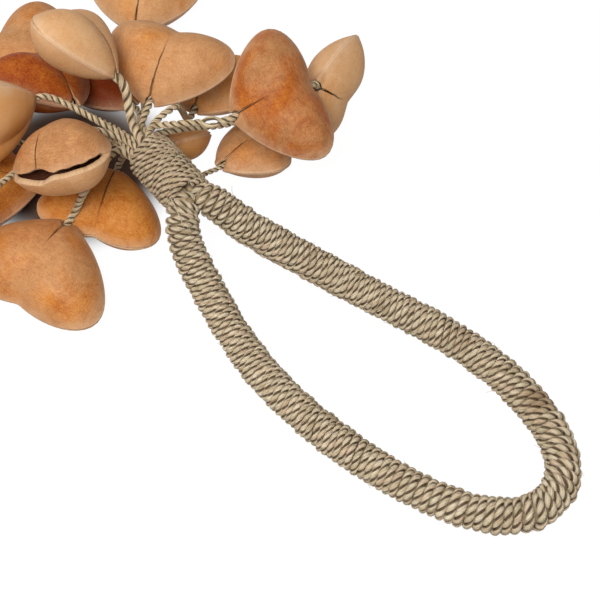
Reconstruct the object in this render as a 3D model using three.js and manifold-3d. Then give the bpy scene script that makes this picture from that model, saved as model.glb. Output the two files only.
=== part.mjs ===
// Seed pod shaker: a loop of wound straw rope, bound at its neck round the strings of a bunch of hollow
// nut shells. Millimetres. +X runs along the handle from the neck to the end of the loop and +Z is up. The
// shaker lies on a table, with its origin on the table under the middle of its bounding box.
import * as THREE from "three";
import { mergeVertices } from "three/addons/utils/BufferGeometryUtils.js";
import Module from "manifold-3d";

// Gap between pieces that touch, and the wider one that lets a string turn where it leaves the bundle
const CLEARANCE = 0.3;
const STRING_TURN_GAP = 0.9;

// Handle: winding cord, its counts of turns and the rope core that is left inside it
const ROPE_RADIUS = 5.8;
const WINDING_THICKNESS = 2.3;
const WINDING_WIDTH = 3.1;
const WINDING_STEPS = 8;
const WINDING_HAND = -1;
const WOUND_CORD_SIDES = 5;
const LEG_TURNS = 34;
const END_BEND_TURNS = 19;
const END_BEND_LENGTH = 80;
const WINDING_JOINT_GAP = 0.8;
const BARE_END_LENGTH = 17.5;
const CORE_SIDES = 7;
const CORE_STEPS = 56;
const ROUTE_DIVISIONS = 800;

// Neck: a binding of finer cord round both ends of the rope and the string bundle
const NECK_RADIUS = 8.5;
const NECK_LENGTH = 24;
const BINDING_TURNS = 9;
const BINDING_STEPS = 10;
const BINDING_HAND = 1;
const BINDING_THICKNESS = 1.8;
const BINDING_WIDTH = 2.1;
const NECK_HEIGHT = 30;
const NECK_TURN = -0.19;
const LEG_LENGTH_IN_NECK = 10;
const LEG_STRAIGHT_LENGTH = 1.5;
const BUNDLE_HEAD_RADIUS = 6.2;
const BUNDLE_HEAD_REACH = 6;
const BUNDLE_HEAD_RINGS = 5;
const BUNDLE_SIDES = 12;

// Strings
const STRING_RADIUS = 1.2;
const STRING_SIDES = 5;
const STRING_STEPS = 6;
const KNOT_RADIUS = 2.4;
const KNOT_SIDES = 5;
const KNOT_RINGS = 3;
const KNOT_DEPTH = 8;
const STRING_LEAD = 3;

// Pods: a hollow shell that narrows to its string hole, with a lobe on each side of a valley
const POD_HEIGHT = 31;
const POD_THICKNESS = 23;
const POD_WALL = 1.5;
const POD_NOTCH = 2;
const POD_VALLEY_DEPTH = 2.2;
const POD_VALLEY_WIDTH = 7;
const POD_CROWN = 0.72;
const POD_HOLE_RADIUS = 2.1;
const POD_HOLE_SIDES = 6;
const POD_SLIT_WIDTH = 1.1;
const POD_SLIT_LENGTH = 11;
const POD_SEAM_REACH = 11;
const POD_MIDDLE = 0.56;
const POD_SIDES = 16;
const POD_RINGS = [0.42, 0.78];
const HOLLOW_SIDES = 8;
const HOLLOW_RINGS = [0.65];

// A pod's outline in shares of its height and half its width: the widest point, and the points that its curve
// leans to on the way out from the hole and back in to the notch
const OUTLINE_WIDEST = [0.72, 1];
const OUTLINE_SHOULDER = [[0.02, 0.35], [0.44, 1]];
const OUTLINE_LOBE = [[0.97, 1], [1.06, 0.45]];

// Colours of straw cord and nut shell
const STRAW = { color: 0xbfae8a, roughness: 0.85, metalness: 0 };
const STRING_STRAW = { color: 0xcdb88f, roughness: 0.85, metalness: 0 };
const SHELL = { color: 0xc08a55, roughness: 0.5, metalness: 0 };

// The rope's middle line in plan from the neck, round the loop and back, with the height of each point
const LOOP_ROUTE = [
  [31, -0.5, 28.8],
  [42, 2.7, 23],
  [54, 8.4, 16],
  [67.5, 14, 10],
  [84, 18.6, 6.5],
  [101, 21.5, 5.8],
  [117, 23, 5.8],
  [133.5, 22.3, 5.8],
  [147.5, 19.5, 5.8],
  [159, 15, 5.8],
  [168.5, 8, 5.8],
  [173, -1.5, 5.8],
  [172, -11, 5.8],
  [166, -18.5, 5.8],
  [157, -24, 5.8],
  [142, -28.5, 5.8],
  [124, -31, 5.8],
  [109, -31.5, 5.8],
  [92, -30.5, 5.8],
  [74, -27.5, 6.6],
  [59, -23.6, 9],
  [45.5, -19.2, 13.2],
  [37, -17, 18],
  [31, -14.5, 23.2],
  [27, -11.5, 27.8],
];

// Each pod: where its string hole lies, which way it points in plan and above the table, how it is rolled
// about its own axis, its width, its size beside the usual height and thickness, and how far its far rim
// gapes. A pod with no height lies on the table. One pod has a notch and a valley of its own, and some
// strings pass by other points on the way to their pods.
const PODS = [
  {
    at: [-6, -32],
    heading: -76,
    pitch: -13,
    roll: -8,
    width: 52,
    size: 1.1,
    gape: 0.9,
    via: [[-3, -24, 31]],
  },
  {
    at: [-14, -13, 39],
    heading: -65,
    pitch: 20,
    roll: 24,
    width: 34,
    size: 1,
    gape: 4.2,
    notch: -2.5,
    valleyDepth: 0.6,
  },
  {
    at: [-34.5, -16, 43],
    heading: -105,
    pitch: 0,
    roll: 75,
    width: 44,
    size: 1,
    gape: 0.9,
  },
  {
    at: [-38, 2.8, 23],
    heading: 177,
    pitch: 0,
    roll: 28,
    width: 44,
    size: 1,
    gape: 0.9,
  },
  {
    at: [-18.4, 5.7, 48],
    heading: 184,
    pitch: 20,
    roll: 45,
    width: 42,
    size: 1,
    gape: 0.9,
  },
  {
    at: [-13.6, 14.7, 31.5],
    heading: 112,
    pitch: 15,
    roll: 0,
    width: 45,
    size: 1,
    gape: 0.9,
  },
  {
    at: [14.5, 26, 36.5],
    heading: 66,
    pitch: 5,
    roll: 25,
    width: 48,
    size: 0.98,
    gape: 0.9,
    via: [[3, 13, 35.4]],
  },
  {
    at: [22.5, 58],
    heading: 110,
    pitch: -50,
    roll: 100,
    width: 44,
    size: 0.95,
    gape: 0.9,
    via: [[-1.5, 19, 25], [6, 35, 21]],
  },
  {
    at: [9.2, 24],
    heading: 82,
    pitch: -8,
    roll: -4,
    width: 27,
    size: 0.8,
    gape: 0.9,
    via: [[4, 5.5, 14]],
  },
  {
    at: [-14.8, -1.6],
    heading: -60,
    pitch: 0,
    roll: -10,
    width: 42,
    size: 1,
    gape: 0.9,
  },
  {
    at: [-30.5, -24],
    heading: -138,
    pitch: 0,
    roll: 0,
    width: 43,
    size: 1,
    gape: 0.9,
    via: [[-24, -13, 31]],
  },
  {
    at: [-15.5, 36.5],
    heading: 108,
    pitch: 0,
    roll: 0,
    width: 41,
    size: 1,
    gape: 0.9,
    via: [[-7, 20, 31]],
  },
  {
    at: [-4, 14.2],
    heading: 132,
    pitch: -52,
    roll: -22,
    width: 28,
    size: 0.7,
    gape: 0.9,
    via: [[-4.5, 8.2, 22.8]],
  },
  {
    at: [-78, -24],
    heading: 180,
    pitch: 0,
    roll: 0,
    width: 44,
    size: 1,
    gape: 0.9,
    via: [[-38, -6, 8]],
  },
  {
    at: [-24, -54, 33],
    heading: -100,
    pitch: 0,
    roll: 0,
    width: 42,
    size: 0.95,
    gape: 0.9,
    via: [[-33, -16, 20], [-27, -38, 28]],
  },
  {
    at: [-35.5, 26.5],
    heading: 172,
    pitch: 0,
    roll: 0,
    width: 28,
    size: 0.75,
    gape: 0.9,
    via: [[-16, 10, 15]],
  },
  {
    at: [-66, 24],
    heading: 195,
    pitch: 0,
    roll: 0,
    width: 45,
    size: 1,
    gape: 0.9,
    via: [[-25, 15, 27], [-50, 27, 22]],
  },
  {
    at: [-60, 52],
    heading: 125,
    pitch: 0,
    roll: 0,
    width: 41,
    size: 1,
    gape: 0.9,
    via: [[-20, 18, 21], [-46, 39, 16]],
  },
];

const wasm = await Module();
wasm.setup();

// A closed geometry as a solid that can be joined and cut
function toSolid(geometry) {
  const bare = geometry.clone();
  bare.deleteAttribute("normal");
  bare.deleteAttribute("uv");
  const merged = mergeVertices(bare, 1e-4);
  const vertProperties = merged.attributes.position.array;
  const triVerts = new Uint32Array(merged.index.array);
  return new wasm.Manifold(new wasm.Mesh({ numProp: 3, vertProperties, triVerts }));
}

function toGeometry(solid) {
  const { vertProperties, triVerts } = solid.getMesh();
  const geometry = new THREE.BufferGeometry();
  geometry.setAttribute("position", new THREE.BufferAttribute(vertProperties, 3));
  geometry.setIndex(new THREE.BufferAttribute(triVerts, 1));
  geometry.computeVertexNormals();
  return geometry;
}

function namedMesh(name, geometry, finish) {
  const mesh = new THREE.Mesh(geometry, new THREE.MeshStandardMaterial(finish));
  mesh.name = name;
  return mesh;
}

function polygon(radius, sides) {
  const points = [];
  for (let i = 0; i < sides; i += 1) {
    const angle = (2 * Math.PI * i) / sides;
    points.push(new THREE.Vector2(radius * Math.cos(angle), radius * Math.sin(angle)));
  }
  return new THREE.Shape(points);
}

// A closed tube through rings of points, each ring in the same order
function tubeThroughRings(rings) {
  const sides = rings[0].length;
  const positions = [];
  const index = [];
  rings.forEach((ring) => ring.forEach((point) => positions.push(point.x, point.y, point.z)));
  for (let r = 0; r + 1 < rings.length; r += 1) {
    for (let s = 0; s < sides; s += 1) {
      const a = r * sides + s;
      const b = r * sides + ((s + 1) % sides);
      index.push(a, b, b + sides, a, b + sides, a + sides);
    }
  }
  const last = (rings.length - 1) * sides;
  for (let s = 1; s + 1 < sides; s += 1) {
    index.push(0, s + 1, s, last, last + s, last + s + 1);
  }
  const geometry = new THREE.BufferGeometry();
  geometry.setAttribute("position", new THREE.Float32BufferAttribute(positions, 3));
  geometry.setIndex(index);
  geometry.computeVertexNormals();
  return geometry;
}

// The rope's own directions at a point of its middle line: along it, to its side and up from it
function ropeFrame(curve, u) {
  const along = curve.getTangentAt(u);
  const side = new THREE.Vector3(0, 0, 1).cross(along).normalize();
  const up = along.clone().cross(side);
  return { middle: curve.getPointAt(u), along, side, up };
}

// Least distance between the points of a wound cord and those of its next turns
function leastGap(rings, stepsPerTurn) {
  let least = Infinity;
  rings.forEach((ring, i) => {
    const from = i + Math.ceil(stepsPerTurn / 2);
    rings.slice(from, i + 2 * stepsPerTurn).forEach((other) => {
      ring.forEach((p) => other.forEach((q) => {
        least = Math.min(least, p.distanceTo(q));
      }));
    });
  });
  return least;
}

// A cord wound round a curve, to its left or right, from one share of its length to another. Its ends lie on
// top and run straight for one cord width.
function woundCord(name, curve, { from, to, turns, steps, hand, radius, width, thickness }) {
  const section = [];
  for (let s = 0; s < WOUND_CORD_SIDES; s += 1) {
    const angle = (2 * Math.PI * (s + 0.25)) / WOUND_CORD_SIDES;
    section.push([Math.cos(angle) * (thickness / 2), -hand * Math.sin(angle) * (width / 2)]);
  }
  const rings = [];
  const last = turns * steps;
  for (let i = 0; i <= last; i += 1) {
    const { middle, along, side, up } = ropeFrame(curve, from + ((to - from) * i) / last);
    const angle = Math.PI / 2 + (hand * 2 * Math.PI * i) / steps;
    const outward = side.clone().multiplyScalar(Math.cos(angle)).addScaledVector(up, Math.sin(angle));
    const centre = middle.addScaledVector(outward, radius);
    rings.push(section.map(([out, ahead]) => (
      centre.clone().addScaledVector(outward, out).addScaledVector(along, ahead)
    )));
    if (i === 0 || i === last) {
      const forward = outward.clone().cross(along).multiplyScalar(hand * (i === 0 ? width : -width));
      const straight = rings[rings.length - 1].map((point) => point.clone().add(forward));
      rings.splice(i === 0 ? 0 : rings.length, 0, straight);
    }
  }
  console.log(name + " least gap between turns " + leastGap(rings, steps).toFixed(2) + " mm");
  return tubeThroughRings(rings);
}

const shaker = new THREE.Group();

// The neck runs level from the fork to its end, turned a little from the handle's line
const neckEnd = new THREE.Vector3(0, 0, NECK_HEIGHT);
const neckAxis = new THREE.Vector3(-Math.cos(NECK_TURN), -Math.sin(NECK_TURN), 0);
const neckStart = neckEnd.clone().addScaledVector(neckAxis, -NECK_LENGTH);
const neckSide = new THREE.Vector3(0, 0, 1).cross(neckAxis);
const bundleHead = neckEnd.clone().addScaledVector(neckAxis, BUNDLE_HEAD_REACH);

// Rope core: both ends lie side by side in the neck
const windingRadius = ROPE_RADIUS - WINDING_THICKNESS / 2;
const coreRadius = windingRadius * Math.cos(Math.PI / WINDING_STEPS) - WINDING_THICKNESS / 2 - CLEARANCE;
const bindingRadius = NECK_RADIUS - BINDING_THICKNESS / 2;
const bundleRadius = bindingRadius * Math.cos(Math.PI / BINDING_STEPS) - BINDING_THICKNESS / 2 - CLEARANCE;

function legInNeck(reach, sideways) {
  const point = neckStart.clone().addScaledVector(neckAxis, reach);
  return point.addScaledVector(neckSide, sideways * (coreRadius + CLEARANCE / 2));
}

const loopCurve = new THREE.CatmullRomCurve3([
  legInNeck(LEG_LENGTH_IN_NECK, -1),
  legInNeck(LEG_LENGTH_IN_NECK / 2, -1),
  legInNeck(-LEG_STRAIGHT_LENGTH, -1),
  ...LOOP_ROUTE.map((point) => new THREE.Vector3(...point)),
  legInNeck(-LEG_STRAIGHT_LENGTH, 1),
  legInNeck(LEG_LENGTH_IN_NECK / 2, 1),
  legInNeck(LEG_LENGTH_IN_NECK, 1),
], false, "centripetal");
loopCurve.arcLengthDivisions = ROUTE_DIVISIONS;
const loopLength = loopCurve.getLength();
const coreGeometry = new THREE.ExtrudeGeometry(polygon(coreRadius, CORE_SIDES), {
  steps: CORE_STEPS,
  extrudePath: loopCurve,
});
shaker.add(namedMesh("handle_core", coreGeometry, STRAW));

// Three lengths of winding cord, end to end along the loop
const windingJoint = WINDING_WIDTH + WINDING_JOINT_GAP;
const legWinding = (loopLength - 2 * BARE_END_LENGTH - END_BEND_LENGTH) / 2 - windingJoint;
const bendStart = (loopLength - END_BEND_LENGTH) / 2;

function loopWinding(name, start, length, turns) {
  const geometry = woundCord(name, loopCurve, {
    from: start / loopLength,
    to: (start + length) / loopLength,
    turns,
    steps: WINDING_STEPS,
    hand: WINDING_HAND,
    radius: windingRadius,
    width: WINDING_WIDTH,
    thickness: WINDING_THICKNESS,
  });
  shaker.add(namedMesh(name, geometry, STRAW));
}

loopWinding("right_leg_winding", BARE_END_LENGTH, legWinding, LEG_TURNS);
loopWinding("end_bend_winding", bendStart, END_BEND_LENGTH, END_BEND_TURNS);
loopWinding("left_leg_winding", loopLength - BARE_END_LENGTH - legWinding, legWinding, LEG_TURNS);

const bindingGeometry = woundCord("neck_binding", new THREE.LineCurve3(neckStart, neckEnd), {
  from: BINDING_WIDTH / 2 / NECK_LENGTH,
  to: 1 - BINDING_WIDTH / 2 / NECK_LENGTH,
  turns: BINDING_TURNS,
  steps: BINDING_STEPS,
  hand: BINDING_HAND,
  radius: bindingRadius,
  width: BINDING_WIDTH,
  thickness: BINDING_THICKNESS,
});
shaker.add(namedMesh("neck_binding", bindingGeometry, STRAW));

// String bundle: a bound stem in the neck that swells to a round head, where the strings fan out
function bundleGeometry() {
  const stem = Math.acos(bundleRadius / BUNDLE_HEAD_RADIUS);
  const profile = [
    new THREE.Vector2(0, LEG_LENGTH_IN_NECK + CLEARANCE),
    new THREE.Vector2(bundleRadius, LEG_LENGTH_IN_NECK + CLEARANCE),
  ];
  const headHeight = NECK_LENGTH + BUNDLE_HEAD_REACH;
  for (let i = 0; i <= BUNDLE_HEAD_RINGS; i += 1) {
    const angle = -stem + ((Math.PI / 2 + stem) * i) / BUNDLE_HEAD_RINGS;
    const radius = i < BUNDLE_HEAD_RINGS ? BUNDLE_HEAD_RADIUS * Math.cos(angle) : 0;
    profile.push(new THREE.Vector2(radius, headHeight + BUNDLE_HEAD_RADIUS * Math.sin(angle)));
  }
  return new THREE.LatheGeometry(profile, BUNDLE_SIDES);
}

const bundle = namedMesh("string_bundle", bundleGeometry(), STRING_STRAW);
bundle.position.copy(neckStart);
bundle.quaternion.setFromUnitVectors(new THREE.Vector3(0, 1, 0), neckAxis);
shaker.add(bundle);

// A pod's closed skin: its hole end at the origin, its axis along +X, its width along Y. Both faces swell
// from the rim to a crown, with a valley between the two lobes.
function podSkin({ width, height, thickness, notch, valleyDepth }, around, rings) {
  const place = ([along, across]) => new THREE.Vector2(along * height, (across * width) / 2);
  const hole = new THREE.Vector2(0, 0);
  const widest = place(OUTLINE_WIDEST);
  const far = new THREE.Vector2(height - notch, 0);
  const outline = new THREE.CurvePath();
  outline.add(new THREE.CubicBezierCurve(hole, ...OUTLINE_SHOULDER.map(place), widest));
  outline.add(new THREE.CubicBezierCurve(widest, ...OUTLINE_LOBE.map(place), far));
  const side = outline.getSpacedPoints(around / 2);
  const mirrored = side.slice(1, -1).reverse().map((point) => new THREE.Vector2(point.x, -point.y));
  const rim = [...side, ...mirrored];
  const middle = POD_MIDDLE * height;
  const positions = [];
  const index = [];
  const addRing = (share, face) => rim.forEach(({ x, y }) => {
    const across = share * y;
    const valley = valleyDepth * Math.exp(-((across / POD_VALLEY_WIDTH) ** 2));
    const crown = (1 - share ** 2) ** POD_CROWN;
    positions.push(middle + share * (x - middle), across, face * crown * (thickness / 2 - valley));
  });
  const upper = rings.map((share) => [share, 1]);
  const lower = rings.toReversed().map((share) => [share, -1]);
  const levels = [...upper, [1, 1], ...lower];
  const crownHeight = thickness / 2 - valleyDepth;
  positions.push(middle, 0, crownHeight);
  levels.forEach(([share, face]) => addRing(share, face));
  positions.push(middle, 0, -crownHeight);
  const bottom = positions.length / 3 - 1;
  for (let s = 0; s < around; s += 1) {
    const next = (s + 1) % around;
    index.push(0, 1 + next, 1 + s);
    for (let r = 0; r + 1 < levels.length; r += 1) {
      const a = 1 + r * around + s;
      const b = 1 + r * around + next;
      index.push(a, b, b + around, a, b + around, a + around);
    }
    const lastRing = 1 + (levels.length - 1) * around;
    index.push(bottom, lastRing + s, lastRing + next);
  }
  const geometry = new THREE.BufferGeometry();
  geometry.setAttribute("position", new THREE.Float32BufferAttribute(positions, 3));
  geometry.setIndex(index);
  return geometry;
}

// The hollow shell, cut by its string hole, the slit on both faces beside it and the seam along its far rim
function podGeometry({ width, size, gape, notch = POD_NOTCH, valleyDepth = POD_VALLEY_DEPTH }) {
  const height = size * POD_HEIGHT;
  const thickness = size * POD_THICKNESS;
  const outer = toSolid(podSkin({ width, height, thickness, notch, valleyDepth }, POD_SIDES, POD_RINGS));
  const inside = {
    width: width - 2 * POD_WALL,
    height: height - 2 * POD_WALL,
    thickness: thickness - 2 * POD_WALL,
    notch,
    valleyDepth,
  };
  const hollowSkin = podSkin(inside, HOLLOW_SIDES, HOLLOW_RINGS);
  const hollow = toSolid(hollowSkin.translate(POD_WALL, 0, 0));
  const hole = new THREE.CylinderGeometry(POD_HOLE_RADIUS, POD_HOLE_RADIUS, 2 * KNOT_DEPTH, POD_HOLE_SIDES);
  const slit = new THREE.BoxGeometry(2 * size * POD_SLIT_LENGTH, POD_SLIT_WIDTH, 2 * thickness);
  const seam = new THREE.BoxGeometry(2 * size * POD_SEAM_REACH, 2 * width, gape);
  return toGeometry(outer
    .subtract(hollow)
    .subtract(toSolid(hole.rotateZ(Math.PI / 2)))
    .subtract(toSolid(slit))
    .subtract(toSolid(seam.translate(height, 0, 0))));
}

function podTurn({ heading, pitch, roll }) {
  const degrees = THREE.MathUtils.degToRad;
  const turn = new THREE.Euler(degrees(roll), degrees(-pitch), degrees(heading), "ZYX");
  return new THREE.Quaternion().setFromEuler(turn);
}

// Height of a pod's hole when its shell lies on the table
function heightOnTable(geometry, turn) {
  const turned = geometry.clone().applyQuaternion(turn);
  turned.computeBoundingBox();
  return -turned.boundingBox.min.z;
}

function stringGeometry(points, knot) {
  const path = new THREE.CatmullRomCurve3(points, false, "centripetal");
  const cord = new THREE.ExtrudeGeometry(polygon(STRING_RADIUS, STRING_SIDES), {
    steps: STRING_STEPS,
    extrudePath: path,
  });
  const ball = new THREE.SphereGeometry(KNOT_RADIUS, KNOT_SIDES, KNOT_RINGS);
  return toGeometry(toSolid(cord).add(toSolid(ball.translate(knot.x, knot.y, knot.z))));
}

// A pod and its string, in a group whose origin is the point where the string leaves the bundle and turns
function addPod(number, pod) {
  const geometry = podGeometry(pod);
  const turn = podTurn(pod);
  const [x, y, z = heightOnTable(geometry, turn)] = pod.at;
  const hole = new THREE.Vector3(x, y, z);
  const axis = new THREE.Vector3(1, 0, 0).applyQuaternion(turn);
  const approach = hole.clone().addScaledVector(axis, -STRING_LEAD);
  const via = (pod.via ?? []).map((point) => new THREE.Vector3(...point));
  const leaving = (via[0] ?? approach).clone().sub(bundleHead);
  leaving.addScaledVector(neckAxis, -Math.min(leaving.dot(neckAxis), 0)).normalize();
  const exit = bundleHead.clone().addScaledVector(leaving, BUNDLE_HEAD_RADIUS + STRING_TURN_GAP);
  const knot = hole.clone().addScaledVector(axis, KNOT_DEPTH);
  const route = [exit, ...via, approach, hole.clone().addScaledVector(axis, STRING_LEAD), knot];
  const swing = new THREE.Group();
  swing.position.copy(exit);
  const shell = namedMesh("pod_" + number, geometry, SHELL);
  shell.position.copy(hole).sub(exit);
  shell.quaternion.copy(turn);
  const local = route.map((point) => point.clone().sub(exit));
  const cord = namedMesh("string_" + number, stringGeometry(local, local.at(-1)), STRING_STRAW);
  swing.add(shell, cord);
  shaker.add(swing);
}

PODS.forEach((pod, i) => addPod(String(i + 1).padStart(2, "0"), pod));

// The origin lies on the table under the middle of the whole box
const box = new THREE.Box3().setFromObject(shaker, true);
const middle = box.getCenter(new THREE.Vector3());
shaker.children.forEach((child) => child.position.sub(new THREE.Vector3(middle.x, middle.y, box.min.z)));

export default shaker;
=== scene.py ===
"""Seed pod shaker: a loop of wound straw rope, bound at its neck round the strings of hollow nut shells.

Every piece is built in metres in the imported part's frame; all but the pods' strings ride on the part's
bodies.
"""

from __future__ import annotations

import logging
import math
from dataclasses import dataclass, field
from enum import Enum
from random import Random
from typing import Iterable, Sequence

import bpy
import numpy as np
from mathutils import Matrix, Vector

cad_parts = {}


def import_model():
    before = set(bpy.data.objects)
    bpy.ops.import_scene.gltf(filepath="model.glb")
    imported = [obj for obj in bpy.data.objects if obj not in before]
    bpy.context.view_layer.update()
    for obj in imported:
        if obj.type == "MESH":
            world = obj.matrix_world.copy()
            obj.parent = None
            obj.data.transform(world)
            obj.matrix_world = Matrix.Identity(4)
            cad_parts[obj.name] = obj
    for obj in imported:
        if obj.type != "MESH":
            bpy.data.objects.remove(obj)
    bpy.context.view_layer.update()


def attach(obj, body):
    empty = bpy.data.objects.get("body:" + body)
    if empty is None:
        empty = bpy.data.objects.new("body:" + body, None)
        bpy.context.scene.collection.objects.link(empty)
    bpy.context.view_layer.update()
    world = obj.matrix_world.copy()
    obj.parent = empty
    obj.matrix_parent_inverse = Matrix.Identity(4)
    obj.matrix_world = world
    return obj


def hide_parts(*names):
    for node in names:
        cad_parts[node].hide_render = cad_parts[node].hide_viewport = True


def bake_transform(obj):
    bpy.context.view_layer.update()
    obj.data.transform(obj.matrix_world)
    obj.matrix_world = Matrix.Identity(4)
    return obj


LOG = logging.getLogger("shaker")
MM = 0.001
TAU = 2 * math.pi
UP = np.array((0.0, 0.0, 1.0))

Array = np.ndarray
Material = bpy.types.Material
Piece = bpy.types.Object
Pair = tuple[float, float]
Triple = tuple[float, float, float]


class Slot(str, Enum):
    """The record's material slots."""

    WINDING = "straw_cord"
    STRING = "string_cord"
    SHELL = "nut_shell"


# Shader values


class Shade:
    """One output socket, with arithmetic that adds Math nodes."""

    def __init__(self, bench: "Bench", socket: bpy.types.NodeSocket) -> None:
        """Keeps the socket and the bench that it belongs to."""
        self.bench = bench
        self.socket = socket

    def _math(self, operation: str, first: object, second: object) -> "Shade":
        """Adds a Math node on two values."""
        return self.bench.node("ShaderNodeMath", {"operation": operation}, {0: first, 1: second})

    def __add__(self, other: object) -> "Shade":
        """Sum."""
        return self._math("ADD", self, other)

    __radd__ = __add__

    def __sub__(self, other: object) -> "Shade":
        """Difference."""
        return self._math("SUBTRACT", self, other)

    def __mul__(self, other: object) -> "Shade":
        """Product."""
        return self._math("MULTIPLY", self, other)

    def __pow__(self, other: object) -> "Shade":
        """Power."""
        return self._math("POWER", self, other)

    def __abs__(self) -> "Shade":
        """Size without sign."""
        return self._math("ABSOLUTE", self, 0.0)

    def fade(self, start: float, end: float) -> "Shade":
        """A smooth step.

        Args:
            start: where the result is 0.
            end: where the result is 1; it may be below start.

        Returns:
            The step, between 0 and 1.
        """
        low, high = (start, end) if start < end else (end, start)
        outs = (0.0, 1.0) if start < end else (1.0, 0.0)
        inputs = {0: self, 1: low, 2: high, 3: outs[0], 4: outs[1]}
        return self.bench.node("ShaderNodeMapRange", {"interpolation_type": "SMOOTHSTEP"}, inputs)


class Bench:
    """The node tree of one material or of the world."""

    def __init__(self, owner: Material | bpy.types.World) -> None:
        """Starts an empty tree.

        Args:
            owner: the material or world that gets the nodes.
        """
        self.owner = owner
        owner.use_nodes = True
        self.tree = owner.node_tree
        self.tree.nodes.clear()

    def node(self, kind: str, settings: dict, inputs: dict, output: int | str = 0) -> Shade:
        """Adds a node.

        Args:
            kind: the node's type.
            settings: its properties; "stops" sets a colour ramp's stops.
            inputs: a value or a Shade for each socket, by index or name.
            output: the socket to return.

        Returns:
            The chosen output.
        """
        made = self.tree.nodes.new(kind)
        for key, value in settings.items():
            if key == "stops":
                self._set_stops(made.color_ramp, value)
            else:
                setattr(made, key, value)
        for key, value in inputs.items():
            if isinstance(value, Shade):
                self.tree.links.new(value.socket, made.inputs[key])
            else:
                made.inputs[key].default_value = value
        return Shade(self, made.outputs[output] if made.outputs else None)

    @staticmethod
    def _set_stops(ramp: bpy.types.ColorRamp, stops: Sequence[tuple[float, tuple]]) -> None:
        """Gives a colour ramp its stops."""
        while len(ramp.elements) < len(stops):
            ramp.elements.new(1.0)
        for element, (place, colour) in zip(ramp.elements, stops):
            element.position = place
            element.color = (*colour, 1.0)

    def attribute(self, name: str) -> Shade:
        """A vector that is kept on the mesh."""
        settings = {"attribute_name": name, "attribute_type": "GEOMETRY"}
        return self.node("ShaderNodeAttribute", settings, {}, "Vector")

    def parts(self, vector: Shade) -> tuple[Shade, Shade, Shade]:
        """The three numbers of a vector."""
        split = self.node("ShaderNodeSeparateXYZ", {}, {0: vector})
        return tuple(Shade(self, split.socket.node.outputs[i]) for i in range(3))

    def mapped(self, vector: Shade, scale: tuple, turn: tuple = (0, 0, 0)) -> Shade:
        """A vector that is turned and scaled."""
        return self.node("ShaderNodeMapping", {}, {"Vector": vector, "Rotation": turn, "Scale": scale})

    def sum(self, first: Shade, second: object) -> Shade:
        """The sum of two vectors."""
        return self.node("ShaderNodeVectorMath", {"operation": "ADD"}, {0: first, 1: second})

    def noise(
        self, vector: Shade, scale: float, detail: float = 2.0, rough: float = 0.5, warp: float = 0.0
    ) -> Shade:
        """Soft noise between 0 and 1."""
        inputs = {"Vector": vector, "Scale": scale, "Detail": detail, "Roughness": rough, "Distortion": warp}
        return self.node("ShaderNodeTexNoise", {}, inputs)

    def ramp(self, value: Shade, stops: Sequence[tuple[float, tuple]]) -> Shade:
        """Colours along a value."""
        return self.node("ShaderNodeValToRGB", {"stops": stops}, {0: value})

    def mix(self, share: object, first: object, second: object) -> Shade:
        """A colour between two."""
        ends = [value if isinstance(value, Shade) else (*value, 1.0) for value in (first, second)]
        return self.node("ShaderNodeMix", {"data_type": "RGBA"}, {0: share, 6: ends[0], 7: ends[1]}, 2)

    def bump(self, height: Shade, depth: float, strength: float = 1.0) -> Shade:
        """A normal that is bent by a relief, whose height of 1 stands for a depth in metres."""
        return self.node("ShaderNodeBump", {}, {"Height": height, "Distance": depth, "Strength": strength})

    def close(self, colour: Shade, roughness: object, normal: Shade, shine: float = 0.5) -> Material:
        """Ends the material in a Principled shader.

        Args:
            colour: the base colour.
            roughness: a value or a Shade.
            normal: the bent normal.
            shine: the specular level.

        Returns:
            The finished material.
        """
        inputs = {"Base Color": colour, "Roughness": roughness, "Specular IOR Level": shine, "Normal": normal}
        shader = self.node("ShaderNodeBsdfPrincipled", {}, inputs)
        self.node("ShaderNodeOutputMaterial", {}, {0: shader})
        return self.owner

    def close_mixed(self, kind: str, share: Shade, first: Shade, second: Shade) -> None:
        """Ends the tree in an output of a kind that mixes two shaders."""
        both = self.node("ShaderNodeMixShader", {}, {0: share, 1: first, 2: second})
        self.node(kind, {}, {0: both})

    def looked_at(self) -> Shade:
        """1 for rays from the eye, straight or by way of a shiny or clear surface."""
        path = self.node("ShaderNodeLightPath", {}, {}).socket.node
        rays = ("Is Camera Ray", "Is Glossy Ray", "Is Transmission Ray")
        first, second, third = (Shade(self, path.outputs[name]) for name in rays)
        return first + second + third


# Finishes


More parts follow.
